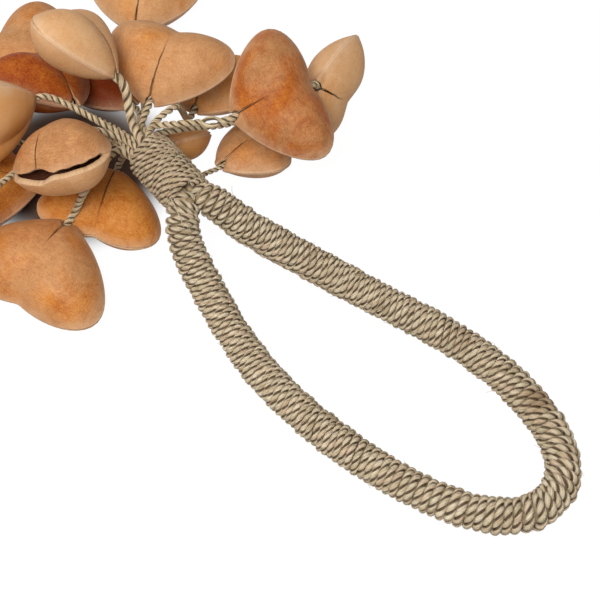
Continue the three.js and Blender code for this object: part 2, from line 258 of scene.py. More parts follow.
@dataclass(frozen=True)
class StrawFinish:
    """Twisted straw cord: fibres along each ply, tinted from length to length, with a few stains and painted
    shade on the inner side of each ply.
    """

    name: str
    pale: Triple = (0.84, 0.71, 0.51)
    straw: Triple = (0.66, 0.52, 0.335)
    dull: Triple = (0.42, 0.30, 0.17)
    pink: Triple = (0.72, 0.51, 0.345)
    green: Triple = (0.55, 0.475, 0.285)
    # dark fibres, and the painted shade between the plies
    deep: Triple = (0.11, 0.062, 0.028)
    stain: Triple = (0.30, 0.145, 0.05)
    fibre_scale: Triple = (150, 1900, 1900)
    length_scale: Triple = (210, 250, 250)
    tint_scale: Triple = (170, 160, 160)
    tint_shift: Triple = (7.0, 0, 0)
    steps: Triple = (0.36, 0.46, 0.57)
    pink_band: Pair = (0.53, 0.66)
    green_band: Pair = (0.46, 0.33)
    deep_band: Pair = (0.46, 0.32)
    # where the painted shade between the plies starts and where it is full, across each ply in metres
    painted_groove_shade_band: Pair = (0.05 * MM, -0.40 * MM)
    relief: float = 0.7 * MM
    roughness: float = 0.78
    shine: float = 0.3

    def material(self) -> Material:
        """Builds the material from the cord's own straw attribute."""
        bench = Bench(bpy.data.materials.new(self.name))
        straw = bench.attribute("straw")
        stained, _, _ = bench.parts(bench.attribute("stained"))
        fibres = bench.noise(bench.mapped(straw, self.fibre_scale), 1.0, 4.0, 0.7)
        lengths = bench.noise(bench.mapped(straw, self.length_scale), 1.0, 2.0)
        shifted = bench.sum(straw, self.tint_shift)
        tints = bench.noise(bench.mapped(shifted, self.tint_scale), 1.0, 1.0)
        value = lengths * 0.42 + fibres * 0.58
        base = bench.ramp(value, list(zip(self.steps, (self.dull, self.straw, self.pale))))
        tinted = bench.mix(tints.fade(*self.pink_band) * 0.55, base, self.pink)
        tinted = bench.mix(tints.fade(*self.green_band) * 0.5, tinted, self.green)
        tinted = bench.mix(stained, tinted, self.stain)
        tinted = bench.mix(fibres.fade(*self.deep_band) * 0.6, tinted, self.deep)
        # painted shade: each ply turns to the deep colour on its side that faces the cord's middle, where the
        # plies shade each other
        _, outward, _ = bench.parts(straw)
        with_painted_groove_shade = bench.mix(outward.fade(*self.painted_groove_shade_band) * 0.85, tinted, self.deep)
        return bench.close(with_painted_groove_shade, self.roughness, bench.bump(fibres, self.relief), self.shine)


@dataclass(frozen=True)
class ShellFinish:
    """The satin outer skin of a nut shell: felted grain, a pale keel and painted shade along the crease."""

    name: str = "nut_shell_skin"
    tans: tuple[Triple, ...] = (
        (0.36, 0.155, 0.055), (0.50, 0.240, 0.098), (0.60, 0.315, 0.140), (0.68, 0.40, 0.20),
    )
    oranges: tuple[Triple, ...] = (
        (0.24, 0.034, 0.004), (0.40, 0.108, 0.014), (0.55, 0.208, 0.040), (0.65, 0.295, 0.085),
    )
    steps: tuple[float, ...] = (0.33, 0.45, 0.56, 0.70)
    cream: Triple = (0.74, 0.53, 0.36)
    # the colour of the painted shade along the crease
    dark: Triple = (0.045, 0.014, 0.006)
    cloud_scale: float = 65.0
    patch_scale: float = 190.0
    felt_scale: Triple = (420, 2500, 2500)
    cross_scale: Triple = (2400, 420, 2400)
    cross_turn: Triple = (0, 0, 0.6)
    paler_rim_band: Pair = (4.2 * MM, 0.8 * MM)
    keel_band: Pair = (1.0 * MM, 0.4 * MM)
    crease_band: Pair = (0.40 * MM, 0.08 * MM)
    crease_wander: float = 1.0 * MM
    mouth_band: Pair = (2.4 * MM, 0.6 * MM)
    relief: float = 0.12 * MM
    shine: float = 0.12

    def material(self) -> Material:
        """Builds the material from the shell's own coordinates."""
        bench = Bench(bpy.data.materials.new(self.name))
        local = bench.attribute("grain")
        own = bench.sum(local, bench.attribute("lot"))
        tone, warm, _ = bench.parts(bench.attribute("tone"))
        along, _, level = bench.parts(local)
        clouds = bench.noise(own, self.cloud_scale, 2.0, 0.5, 0.5)
        patches = bench.noise(own, self.patch_scale, 3.0, 0.55, 0.7)
        grains = (bench.mapped(own, self.felt_scale), bench.mapped(own, self.cross_scale, self.cross_turn))
        felt, cross = (bench.noise(grain, 1.0, 3.0, 0.62, 0.8) for grain in grains)
        # the tone adds each pod's painted light and shade to its own colour
        value = clouds * 0.2 + patches * 0.26 + felt * 0.29 + cross * 0.29 - 0.02 + tone
        tan = bench.ramp(value, list(zip(self.steps, self.tans)))
        orange = bench.ramp(value, list(zip(self.steps, self.oranges)))
        colour = bench.mix((warm + (clouds - 0.5) * 2.2).fade(0.0, 1.0), tan, orange)
        # paler towards the rim, in patches
        paler_near_rim = abs(level).fade(*self.paler_rim_band) * (patches * 0.4)
        keel = abs(level).fade(*self.keel_band) * (felt * 0.6 + 0.1)
        colour = bench.mix(paler_near_rim, colour, self.cream)
        colour = bench.mix(keel, colour, self.cream)
        # painted shade: a thin dark line painted along the crease's groove, standing in for the shade in it
        aside, share, _ = bench.parts(bench.attribute("crease"))
        wander = aside + (patches - 0.5) * self.crease_wander
        crease = abs(wander).fade(*self.crease_band) * share.fade(1.0, 0.55)
        colour = bench.mix(crease * 0.85, colour, self.dark)
        colour = bench.mix(along.fade(*self.mouth_band) * 0.5, colour, self.tans[0])
        relief = felt * 0.6 + cross * 0.6 - crease * 1.6
        return bench.close(colour, 0.46 + felt * 0.2, bench.bump(relief, self.relief, 0.7), self.shine)


@dataclass(frozen=True)
class HollowFinish:
    """The raw wall of a nut shell: its dark inside, or the pale lip of a broken edge."""

    name: str
    first: Triple
    second: Triple
    felt_scale: float = 2400.0
    felt_band: Pair = (0.35, 0.65)
    relief: float = 0.3 * MM
    roughness: float = 0.75

    def material(self) -> Material:
        """Builds a fibrous two-colour material from the shell's own coordinates."""
        bench = Bench(bpy.data.materials.new(self.name))
        own = bench.sum(bench.attribute("grain"), bench.attribute("lot"))
        felt = bench.noise(own, self.felt_scale, 3.0, 0.65)
        colour = bench.mix(felt.fade(*self.felt_band), self.first, self.second)
        return bench.close(colour, self.roughness, bench.bump(felt, self.relief, 0.8))


# Lines and cords


class Route:
    """A smooth line through points, measured along its length."""

    def __init__(self, points: Iterable[Sequence[float]], samples: int = 40) -> None:
        """Draws a centripetal Catmull-Rom line.

        Args:
            points: the points that the line passes, in metres.
            samples: how many short steps each span gets.
        """
        given = np.array([tuple(point) for point in points], float)
        first = 2 * given[0] - given[1]
        last = 2 * given[-1] - given[-2]
        knots = np.vstack((first, given, last))
        spans = [self._span(knots[i : i + 4], samples) for i in range(len(given) - 1)]
        self.line = np.vstack((*spans, given[-1:]))
        self.reach = running(gaps(self.line))
        self.length = float(self.reach[-1])

    @staticmethod
    def _span(four: Array, samples: int) -> Array:
        """The line between the second and third of four points."""
        before, here, after = np.maximum(np.sqrt(gaps(four)), 1e-6)
        p0, p1, p2, p3 = four
        leave = ((p1 - p0) / before - (p2 - p0) / (before + here) + (p2 - p1) / here) * here
        arrive = ((p2 - p1) / here - (p3 - p1) / (here + after) + (p3 - p2) / after) * here
        t = np.linspace(0, 1, samples, endpoint=False)[:, None]
        square = 3 * (p2 - p1) - 2 * leave - arrive
        cube = 2 * (p1 - p2) + leave + arrive
        return p1 + leave * t + square * t**2 + cube * t**3

    def at(self, places: Array) -> Array:
        """The points at distances along the line."""
        return np.stack([np.interp(places, self.reach, self.line[:, k]) for k in range(3)], axis=1)

    def along(self, places: Array) -> Array:
        """The directions at distances along the line."""
        small = 0.4 * MM
        ahead, behind = np.minimum(places + small, self.length), np.maximum(places - small, 0)
        return unit(self.at(ahead) - self.at(behind))

    def evenly(self, step: float) -> Array:
        """Points along the line, about a step apart."""
        count = max(4, math.ceil(self.length / step))
        return self.at(np.linspace(0, self.length, count + 1))


def gaps(points: Array) -> Array:
    """The distance from each point to the next."""
    return np.linalg.norm(np.diff(points, axis=0), axis=1)


def running(steps: Array) -> Array:
    """The distance covered at each point, from the steps between the points."""
    return np.concatenate(([0.0], np.cumsum(steps)))


def turned(first: Array, second: Array, angle: Array | float) -> Array:
    """The direction at an angle from one direction towards another."""
    return first * np.cos(angle)[..., None] + second * np.sin(angle)[..., None]


def placed(name: str, data: bpy.types.ID) -> Piece:
    """A new object in the scene."""
    made = bpy.data.objects.new(name, data)
    bpy.context.scene.collection.objects.link(made)
    return made


def unit(vectors: Array) -> Array:
    """Vectors brought to length 1."""
    return vectors / np.maximum(np.linalg.norm(vectors, axis=-1, keepdims=True), 1e-12)


def carried_normals(line: Array) -> Array:
    """A sideways direction for each point of a line, carried along it without turning.

    Args:
        line: the points.

    Returns:
        A unit vector across the line at each point.
    """
    tangents = unit(np.gradient(line, axis=0))
    start = np.cross(tangents[0], UP if abs(tangents[0][2]) < 0.9 else np.array((1.0, 0, 0)))
    normals = [unit(start)]
    for tangent in tangents[1:]:
        kept = normals[-1] - tangent * float(normals[-1] @ tangent)
        normals.append(unit(kept))
    return np.array(normals)


def wobble(count: int, step: float, wave: float, rng: Random) -> Array:
    """Seeded smooth noise along a line.

    Args:
        count: how many values.
        step: the distance between them.
        wave: the distance over which the noise changes.
        rng: the seeded source.

    Returns:
        Values between about -1 and 1.
    """
    knots = max(4, math.ceil(count * step / wave) + 3)
    heights = [rng.uniform(-1, 1) for _ in range(knots)]
    return np.interp(np.arange(count) * step / wave, np.arange(knots), heights)


def waves(count: int, rng: Random, *shapes: Pair) -> Array:
    """The sum of smooth noises, each given by its height and by how many values it changes over."""
    return sum(high * wobble(count, 1.0, wave, rng) for high, wave in shapes)


def bell(distance: Array, width: float, power: float = 2) -> Array:
    """A bump of 1 in the middle, which falls away about a width from it."""
    return np.exp(-(np.abs(distance / width) ** power))


def keep_vectors(mesh: bpy.types.Mesh, values: dict[str, Array]) -> None:
    """Keeps a vector for each point of a mesh under each name."""
    for name, vectors in values.items():
        kept = mesh.attributes.new(name, "FLOAT_VECTOR", "POINT")
        kept.data.foreach_set("vector", np.asarray(vectors, np.float32).ravel())


@dataclass
class MeshParts:
    """Points, faces and the straw attribute of cords that are gathered into one mesh."""

    points: list[Array] = field(default_factory=list)
    straw: list[Array] = field(default_factory=list)
    faces: list[tuple[int, ...]] = field(default_factory=list)
    count: int = 0

    def tube(self, rings: Array, straw: Array) -> None:
        """Adds a closed tube.

        Args:
            rings: its points, ring by ring.
            straw: the straw attribute of the same points.
        """
        total, sides, _ = rings.shape
        index = self.count + np.arange(total * sides).reshape(total, sides)
        nearer = np.roll(index, -1, axis=1)
        quads = np.stack((index[:-1], nearer[:-1], nearer[1:], index[1:]), axis=-1).reshape(-1, 4)
        self.faces.extend(map(tuple, quads.tolist()))
        self.faces.append(tuple(index[0][::-1].tolist()))
        self.faces.append(tuple(index[-1].tolist()))
        self.points.append(rings.reshape(-1, 3))
        self.straw.append(straw.reshape(-1, 3))
        self.count += total * sides

    def finish(self, name: str, material: Material, stains: Iterable[tuple] = ()) -> Piece:
        """Makes the mesh object.

        Args:
            name: the piece's name.
            material: its finish.
            stains: the middle, the reach and the strength of each stain.

        Returns:
            The new object, at the origin.
        """
        mesh = bpy.data.meshes.new(name)
        points = np.vstack(self.points)
        mesh.from_pydata(points, [], self.faces)
        stained = np.zeros_like(points)
        for middle, reach, strength in stains:
            far = np.linalg.norm(points - middle, axis=1)
            stained[:, 0] = np.maximum(stained[:, 0], strength * bell(far, reach, 4))
        keep_vectors(mesh, {"straw": np.vstack(self.straw), "stained": stained})
        mesh.shade_smooth()
        mesh.materials.append(material)
        return placed(name, mesh)


@dataclass
class TwistedCord:
    """A cord of plies that are twisted round each other."""

    diameter: float
    twist_length: float
    plies: int = 2
    sides: int = 8
    unevenness: float = 0.07
    phase: float | None = None
    turn_wander: float = 0.5
    uneven_wave: float = 0.5
    straw_start: float = 40.0

    def strands(
        self,
        line: Array,
        normals: Array,
        rng: Random,
        scale: Array | float = 1.0,
        apart: Array | float = 1.0,
    ) -> list[tuple[Array, Array]]:
        """Lays the cord along a line.

        Args:
            line: its middle line.
            normals: a direction across the line at each point.
            rng: the seeded source of its unevenness.
            scale: its thickness at each point, beside the usual one.
            apart: how far its plies stand apart at each point, beside the usual distance.

        Returns:
            The rings of each ply and the straw attribute of their points.
        """
        tangents = unit(np.gradient(line, axis=0))
        sideways = np.cross(tangents, normals)
        steps = gaps(line)
        reach = running(steps)
        step = float(reach[-1]) / (len(line) - 1)
        radius = self.diameter / 2 * np.ones(len(line)) * scale
        twisting = 1 - np.clip(np.ones(len(line)) * apart - 1, 0, 0.9)
        twisted = running(steps * twisting[1:])
        wander = self.turn_wander * wobble(len(line), step, self.twist_length, rng)
        start = rng.uniform(0, TAU)
        turn = TAU * twisted / self.twist_length + wander + (start if self.phase is None else self.phase)
        angles = TAU * np.arange(self.sides) / self.sides
        spread, depth, breadth = self._section()
        found = []
        for ply in range(self.plies):
            angle = turn + TAU * ply / self.plies
            out = turned(normals, sideways, angle)
            beside = np.cross(tangents, out)
            wave = self.uneven_wave * self.twist_length
            uneven = 1 + self.unevenness * wobble(len(line), step, wave, rng)
            size = (radius * uneven)[:, None, None]
            ring = turned(depth * out[:, None], breadth * beside[:, None], angles)
            rings = (line + out * (radius * spread * apart)[:, None])[:, None] + ring * size
            straw = np.empty_like(rings)
            straw[..., 0] = reach[:, None] + rng.uniform(0, self.straw_start)
            straw[..., 1] = np.cos(angles)[None] * radius[:, None]
            straw[..., 2] = np.sin(angles)[None] * radius[:, None]
            found.append((rings, straw))
        return found

    def add(
        self, parts: MeshParts, line: Array, rng: Random, normals: Array | None = None, **shape: Array
    ) -> None:
        """Adds the whole cord to a mesh.

        Args:
            parts: the mesh that it goes into.
            line: its middle line.
            rng: the seeded source of its unevenness.
            normals: a direction across the line at each point, or none to carry one along it.
            shape: its scale, and how far its plies stand apart.
        """
        across = carried_normals(line) if normals is None else normals
        for rings, straw in self.strands(line, across, rng, **shape):
            parts.tube(rings, straw)

    def _section(self) -> Triple:
        """How far a ply lies from the middle, its half depth and its half breadth, in radii of the cord."""
        return {1: (0.0, 1.0, 1.0), 2: (0.47, 0.54, 0.74)}.get(self.plies, (0.62, 0.40, 0.62))


# The neck and the handle


@dataclass(frozen=True)
class Neck:
    """Where the neck lies: the line that the handle's ends, the binding and the strings share."""

    end: Triple = (-0.03528, -0.00223, 0.030)
    turn: float = -0.19
    length: float = 24 * MM
    head_reach: float = 6 * MM

    @property
    def axis(self) -> Array:
        """The direction from the fork to the strings."""
        return np.array((-math.cos(self.turn), -math.sin(self.turn), 0.0))

    @property
    def side(self) -> Array:
        """The level direction across the neck."""
        return np.cross(UP, self.axis)

    @property
    def start(self) -> Array:
        """The end of the neck at the fork."""
        return np.array(self.end) - self.axis * self.length

    @property
    def head(self) -> Array:
        """The middle of the fan of strings."""
        return np.array(self.end) + self.axis * self.head_reach

    def point(self, place: Sequence[float]) -> Array:
        """A point in millimetres beside the neck's end in plan, and above the table."""
        x, y, z = place
        return np.array((self.end[0] + x * MM, self.end[1] + y * MM, z * MM))

    def points(self, places: Iterable[Sequence[float]]) -> list[Array]:
        """The same for a row of points."""
        return [self.point(place) for place in places]


NECK = Neck()


@dataclass
class RopeHandle:
    """The loop of rope: a straw core under three lengths of winding cord."""

    finish: Material
    core_finish: Material
    radius: float = 5.8 * MM
    leg_offset: float = 3.0 * MM
    leg_in_neck: float = 10 * MM
    bare_end: float = 9.5 * MM
    bend_length: float = 80 * MM
    bend_share: float = 0.2
    leg_pitch: float = 2.2 * MM
    bend_pitch: float = 2.95 * MM
    twist: float = 2.75
    lean: float = 0.44
    lean_starts: float = 2 * MM
    lean_grows: float = 12 * MM
    pitch_drift: Pair = (0.16, 60)
    cord_drift: Pair = (0.07, 90)
    cord_per_pitch: float = 1.1
    cord_widens: float = 0.8
    sunk: float = 0.52
    unevenness: float = 0.12
    slim: float = 0.16
    slim_reach: float = 6 * MM
    lumps_mm: tuple[Pair, ...] = ((0.26, 37), (0.16, 11))
    core_size: float = 7.4 * MM
    core_twist: float = 34 * MM
    core_step: float = 1.2 * MM
    core_seed: int = 3
    seed: int = 11
    steps_per_turn: int = 50
    most_steps: int = 16000
    stains_mm: tuple[tuple[float, float, float, float, float], ...] = (
        (150, 19.5, 10, 5.5, 0.6), (52.5, 5, 14.5, 3, 0.8), (118, 21.5, 11, 4, 0.3),
    )
    route_mm: tuple[Triple, ...] = (
        (31, -0.5, 28.8), (42, 2.7, 23), (54, 8.4, 16), (67.5, 14, 10), (84, 18.6, 6.5),
        (101, 21.5, 5.8), (117, 23, 5.8), (133.5, 22.3, 5.8), (147.5, 19.5, 5.8), (159, 15, 5.8),
        (168.5, 8, 5.8), (173, -1.5, 5.8), (172, -11, 5.8), (166, -18.5, 5.8), (157, -24, 5.8),
        (142, -28.5, 5.8), (124, -31, 5.8), (109, -31.5, 5.8), (92, -30.5, 5.8), (74, -27.5, 6.6),
        (59, -23.6, 9), (45.5, -19.2, 13.2), (37, -17, 18), (31, -14.5, 23.2), (27, -11.5, 27.8),
    )

    def __post_init__(self) -> None:
        """Draws the rope's middle line."""
        self.rng = Random(self.seed)
        reaches = (self.leg_in_neck, self.leg_in_neck / 2, -1.5 * MM)
        begin = [self._leg(reach, -1) for reach in reaches]
        finish = [self._leg(reach, 1) for reach in reversed(reaches)]
        self.route = Route([*begin, *NECK.points(self.route_mm), *finish])

    def _leg(self, reach: float, hand: int) -> Array:
        """A point of a leg's end inside the neck."""
        return NECK.start + NECK.axis * reach + NECK.side * (hand * self.leg_offset)

    def frames(self, places: Array) -> tuple[Array, Array, Array]:
        """The middle, the side and the upward direction at distances along the rope."""
        along = self.route.along(places)
        side = unit(np.cross(UP, along))
        return self.route.at(places), side, np.cross(along, side)

    def in_bend(self, places: Array | float) -> Array:
        """1 in the middle of the loop's far end, falling to 0 along the legs."""
        off = np.abs(places - self.route.length / 2) / (self.bend_share * self.route.length)
        return np.maximum(0.0, 1 - off**2)

    def pitch(self, places: Array | float) -> Array:
        """The distance between turns, wider round the loop's far end."""
        return self.leg_pitch + (self.bend_pitch - self.leg_pitch) * self.in_bend(places)

    def from_end(self, places: Array) -> Array:
        """How far outside the neck distances along the rope lie."""
        return np.minimum(places, self.route.length - places) - self.leg_in_neck

    def helix(self) -> Array:
        """How far along the rope each step of the winding cord lies.

        Returns:
            Distances from one end of the winding to the other.
        """
        drift = waves(self.most_steps, self.rng, self.pitch_drift)
        places = [self.bare_end]
        while places[-1] < self.route.length - self.bare_end:
            pitch = float(self.pitch(places[-1])) * (1 + drift[len(places)])
            places.append(places[-1] + pitch / self.steps_per_turn)
        return np.array(places)

    def windings(self) -> dict[str, Piece]:
        """Winds one cord round the whole rope and cuts it at both ends of the far bend.

        Returns:
            The three lengths of cord, by the names of their solids.
        """
        places = self.helix()
        count = len(places)
        pitches = self.pitch(places)
        angle = math.pi / 2 - TAU * np.arange(count) / self.steps_per_turn
        beyond = np.clip((self.from_end(places) - self.lean_starts) / self.lean_grows, 0, 1)
        leaning = self.lean * (1 - self.in_bend(places)) * beyond
        middle, side, up = self.frames(places - leaning * self.radius * np.cos(angle))
        out = turned(side, up, angle)
        slim = 1 - self.slim * np.exp(-np.maximum(self.from_end(places), 0) / self.slim_reach)
        lumps = MM * waves(count, self.rng, *self.lumps_mm)
        line = middle + out * (self.radius * slim - pitches * self.sunk + lumps)[:, None]
        widening = (pitches / self.leg_pitch) ** self.cord_widens
        thickness = widening * (1 + waves(count, self.rng, self.cord_drift))
        diameter = self.leg_pitch * self.cord_per_pitch
        cord = TwistedCord(diameter, self.twist * self.leg_pitch, unevenness=self.unevenness)
        strands = cord.strands(line, out, self.rng, thickness)
        bend = (self.route.length - self.bend_length) / 2
        cuts = np.searchsorted(places, (0, bend, bend + self.bend_length, self.route.length))
        stains = [(NECK.point(stain[:3]), stain[3] * MM, stain[4]) for stain in self.stains_mm]
        pieces = {}
        names = ("right_leg_winding", "end_bend_winding", "left_leg_winding")
        for name, first, last in zip(names, cuts, cuts[1:]):
            parts = MeshParts()
            for rings, straw in strands:
                parts.tube(rings[first : last + 1], straw[first : last + 1])
            pieces[name] = parts.finish("cord_of_" + name, self.finish, stains)
        return pieces

    def core(self) -> Piece:
        """The bundle of straw inside the winding."""
        parts = MeshParts()
        cord = TwistedCord(self.core_size, self.core_twist, plies=5)
        cord.add(parts, self.route.evenly(self.core_step), Random(self.core_seed))
        return parts.finish("rope_core", self.core_finish)

    def build(self) -> list[Piece]:
        """Makes the core and the three windings.

        Returns:
            The pieces, each on the handle's body.
        """
        pieces = [dressed(self.core(), Slot.WINDING, "handle", "handle_core")]
        for node, piece in self.windings().items():
            pieces.append(dressed(piece, Slot.WINDING, "handle", node))
        return pieces


@dataclass
class NeckBinding:
    """Finer cord wound round the handle's ends and the strings."""

    finish: Material
    radius: float = 8.5 * MM
    cord: float = 2.25 * MM
    turns: float = 12.3
    past_fork: float = 2.4 * MM
    twist: float = 2.1
    lean: float = 0.5
    uneven_pitch: Pair = (0.16 * MM, 40)
    uneven_radius: Pair = (0.22 * MM, 45)
    slim_at_fork: Pair = (0.07, 7)
    slim_at_end: Pair = (0.05, 14)
    unevenness: float = 0.11
    seed: int = 29
    steps_per_turn: int = 64

    def build(self) -> Piece:
        """Winds the binding.

        Returns:
            The piece, on the handle's body.
        """
        rng = Random(self.seed)
        count = round(self.turns * self.steps_per_turn)
        share = np.linspace(0, 1, count + 1)
        start = self.cord / 2 - self.past_fork
        along = start + share * (NECK.length - self.cord / 2 - start)
        along = along + waves(count + 1, rng, self.uneven_pitch)
        angle = math.pi / 2 + TAU * np.arange(count + 1) / self.steps_per_turn
        along = along - self.lean * (1 - np.abs(2 * share - 1)) * self.radius * np.cos(angle)
        out = turned(NECK.side, UP, angle)
        swell = self.radius - self.cord / 2 + waves(count + 1, rng, self.uneven_radius)
        taper = np.ones(count + 1)
        for (slim, rate), away in ((self.slim_at_fork, share), (self.slim_at_end, 1 - share)):
            taper -= slim * np.exp(-away * rate)
        line = NECK.start + NECK.axis * along[:, None] + out * (swell * taper)[:, None]
        parts = MeshParts()
        cord = TwistedCord(self.cord, self.twist * self.cord, unevenness=self.unevenness)
        cord.add(parts, line, rng, out)
        piece = parts.finish("cord_of_neck_binding", self.finish)
        return dressed(piece, Slot.WINDING, "handle", "neck_binding")


@dataclass
class StrayFibres:
    """Short fibres that stand out of the handle's winding, in a few tufts and all along it."""

    handle: RopeHandle
    finish: Material
    count: int = 260
    thickness: float = 0.10 * MM
    tuft_thickness: float = 0.13 * MM
    stalk_thickness: float = 0.30 * MM
    thin_end: float = 0.45
    sunk: float = 0.5 * MM
    wound_share: Pair = (0.05, 0.95)
    tuft_angles: Pair = (0.3, 2.6)
    rise: Pair = (0.25, 0.8)
    slant: Pair = (-0.6, 0.6)
    lift: Pair = (-0.5, 0.3)
    sway: Pair = (-0.4, 0.4)
    short_mm: Pair = (0.9, 2.4)
    long_mm: Pair = (1.2, 2.8)
    tuft_mm: Pair = (-2.5, 2.5)
    seed: int = 67
    tufts_mm: tuple[tuple[float, float, float, int], ...] = (
        (44, 3.6, 24, 6), (35.5, 1, 28, 5), (126, 22, 6, 10),
    )
    stalk_mm: tuple[Triple, ...] = (
        (22.6, -11.6, 34.2), (26.8, -13.2, 33.3), (32, -15.4, 30.4),
    )

    def __post_init__(self) -> None:
        """Starts an empty mesh."""
        self.rng = Random(self.seed)
        self.parts = MeshParts()

    def fibre(self, line: Array, thickness: float) -> None:
        """Adds a fibre of three sides that thins towards its end."""
        size = thickness * np.linspace(1, self.thin_end, len(line))
        TwistedCord(2, 1, plies=1, sides=3).add(self.parts, line, self.rng, scale=size)

    def standing(self, place: float, angle: float, reach: float) -> Array:
        """The line of a fibre that leaves the winding.

        Args:
            place: how far along the rope it starts.
            angle: where it starts round the rope, from the side.
            reach: its length.

        Returns:
            Four points.
        """
        rng = self.rng
        middle, side, up = (row[0] for row in self.handle.frames(np.array([place])))
        out = turned(side, up, angle)
        along = np.cross(side, up) * rng.choice((-1, 1))
        rise = rng.uniform(*self.rise)
        start = middle + out * (self.handle.radius - self.sunk)
        way = unit(out * rise + along + np.cross(along, out) * rng.uniform(*self.slant))
        bend = (out * rng.uniform(*self.lift) + side * rng.uniform(*self.sway)) * reach
        share = np.linspace(0, 1, 4)[:, None]
        return start + way * reach * share + bend * share**2

    def build(self) -> Piece:
        """Sets the fibres.

        Returns:
            The piece, on the handle's body.
        """
        rng, route = self.rng, self.handle.route
        for _ in range(self.count):
            place = rng.uniform(*self.wound_share) * route.length
            line = self.standing(place, rng.uniform(0, TAU), rng.uniform(*self.short_mm) * MM)
            self.fibre(line, self.thickness)
        for *middle, number in self.tufts_mm:
            near = route.reach[np.argmin(np.linalg.norm(route.line - NECK.point(middle), axis=1))]
            for _ in range(number):
                place = near + rng.uniform(*self.tuft_mm) * MM
                line = self.standing(place, rng.uniform(*self.tuft_angles), rng.uniform(*self.long_mm) * MM)
                self.fibre(line, self.tuft_thickness)
        stalk = Route(NECK.points(self.stalk_mm)).evenly(1 * MM)
        self.fibre(stalk, self.stalk_thickness)
        return dressed(self.parts.finish("stray_fibres", self.finish), Slot.WINDING, "handle")


# Pods and their strings


@dataclass(frozen=True)
class PodPlace:
    """How one pod lies: its string hole beside the neck's end, its direction and roll, and its size.

    A pod with no height lies on the table. Its crease runs from the string hole, or up from the far rim where
    the shell is split. Millimetres and degrees.
    """

    number: str
    at: tuple[float, ...]
    heading: float
    pitch: float
    roll: float
    width: float
    size: float = 1.0
    gape: float = 0.9
    notch: float = 2.0
    valley: float = 2.2
    via: tuple[Triple, ...] = ()
    cord: float = 2.4
    # partly the pod's own colour, partly painted light and shade: darker for pods that lie in shadow, lighter
    # for pods that face away from the lamps
    tone: float = 0.0
    warm: float = 0.2
    crease: float = 14.0
    eye: float = 0.0
    split: float | None = None
    full: float = 1.0

    @property
    def turn(self) -> Matrix:
        """The pod's turn from lying along +X."""
        heading = Matrix.Rotation(math.radians(self.heading), 4, "Z")
        pitch = Matrix.Rotation(math.radians(-self.pitch), 4, "Y")
        return heading @ pitch @ Matrix.Rotation(math.radians(self.roll), 4, "X")

    @property
    def axis(self) -> Array:
        """The direction from its string hole through its middle."""
        return np.array(self.turn.to_3x3() @ Vector((1, 0, 0)))

    @property
    def body(self) -> str:
        """The body that the pod and its string move with."""
        return "pod_on_string_" + self.number


# Each pod's tone paints light and shade as well as its own colour.
PODS = (
    PodPlace("01", (-6, -32), -76, -13, -8, 52, 1.1, via=((-3, -24, 31),), cord=2.7, tone=-0.02, warm=0.4),
    PodPlace("02", (-14, -13, 39), -65, 20, 24, 34, gape=4.2, notch=-2.5, valley=0.6, tone=-0.10, warm=0.05,
             crease=12, split=-4.2, full=1.08),
    PodPlace("03", (-34.5, -16, 43), -105, 0, 75, 44, cord=2.3, tone=0.24, warm=0.6, full=1.08),
    PodPlace("04", (-38, 2.8, 23), 177, 0, 28, 44, warm=1.1, tone=-0.10, crease=24),
    PodPlace("05", (-18.4, 5.7, 48), 184, 20, 45, 42, cord=3.3, tone=0.13, warm=0.0, crease=28),
    PodPlace("06", (-13.6, 14.7, 31.5), 112, 15, 0, 45, cord=2.5, tone=-0.01, warm=0.1, crease=24),
    PodPlace("07", (14.5, 26, 36.5), 66, 5, 25, 48, 0.98, via=((3, 13, 35.4),), cord=2.5, warm=0.5,
             tone=-0.09, eye=1.3),
    PodPlace("08", (22.5, 58), 110, -50, 100, 44, 0.95, via=((-1.5, 19, 25), (6, 35, 21)), tone=0.13,
             warm=0.1),
    PodPlace("09", (9.2, 24), 82, -8, -4, 27, 0.8, via=((4, 5.5, 14),), cord=1.9, warm=0.45),
    PodPlace("10", (-14.8, -1.6), -60, 0, -10, 42, warm=1.1, tone=0.04, crease=30),
    PodPlace("11", (-30.5, -24), -138, 0, 0, 43, via=((-24, -13, 31),), warm=1.2, tone=0.02),
    PodPlace("12", (-15.5, 36.5), 108, 0, 0, 41, via=((-7, 20, 31),), warm=0.8, tone=0.15),
    PodPlace("13", (-4, 14.2), 132, -52, -22, 28, 0.7, via=((-4.5, 8.2, 22.8),), cord=2.0, warm=1.2,
             tone=0.16),
    PodPlace("14", (-78, -24), 180, 0, 0, 44, via=((-38, -6, 8),), warm=0.4),
    PodPlace("15", (-24, -54, 33), -100, 0, 0, 42, 0.95, via=((-33, -16, 20), (-27, -38, 28)), tone=0.05),
    PodPlace("16", (-35.5, 26.5), 172, 0, 0, 28, 0.75, via=((-16, 10, 15),), warm=1.2, tone=-0.15),
    PodPlace("17", (-66, 24), 195, 0, 0, 45, via=((-25, 15, 27), (-50, 27, 22)), warm=0.5),
    PodPlace("18", (-60, 52), 125, 0, 0, 41, via=((-20, 18, 21), (-46, 39, 16)), warm=0.3, tone=0.04),
)


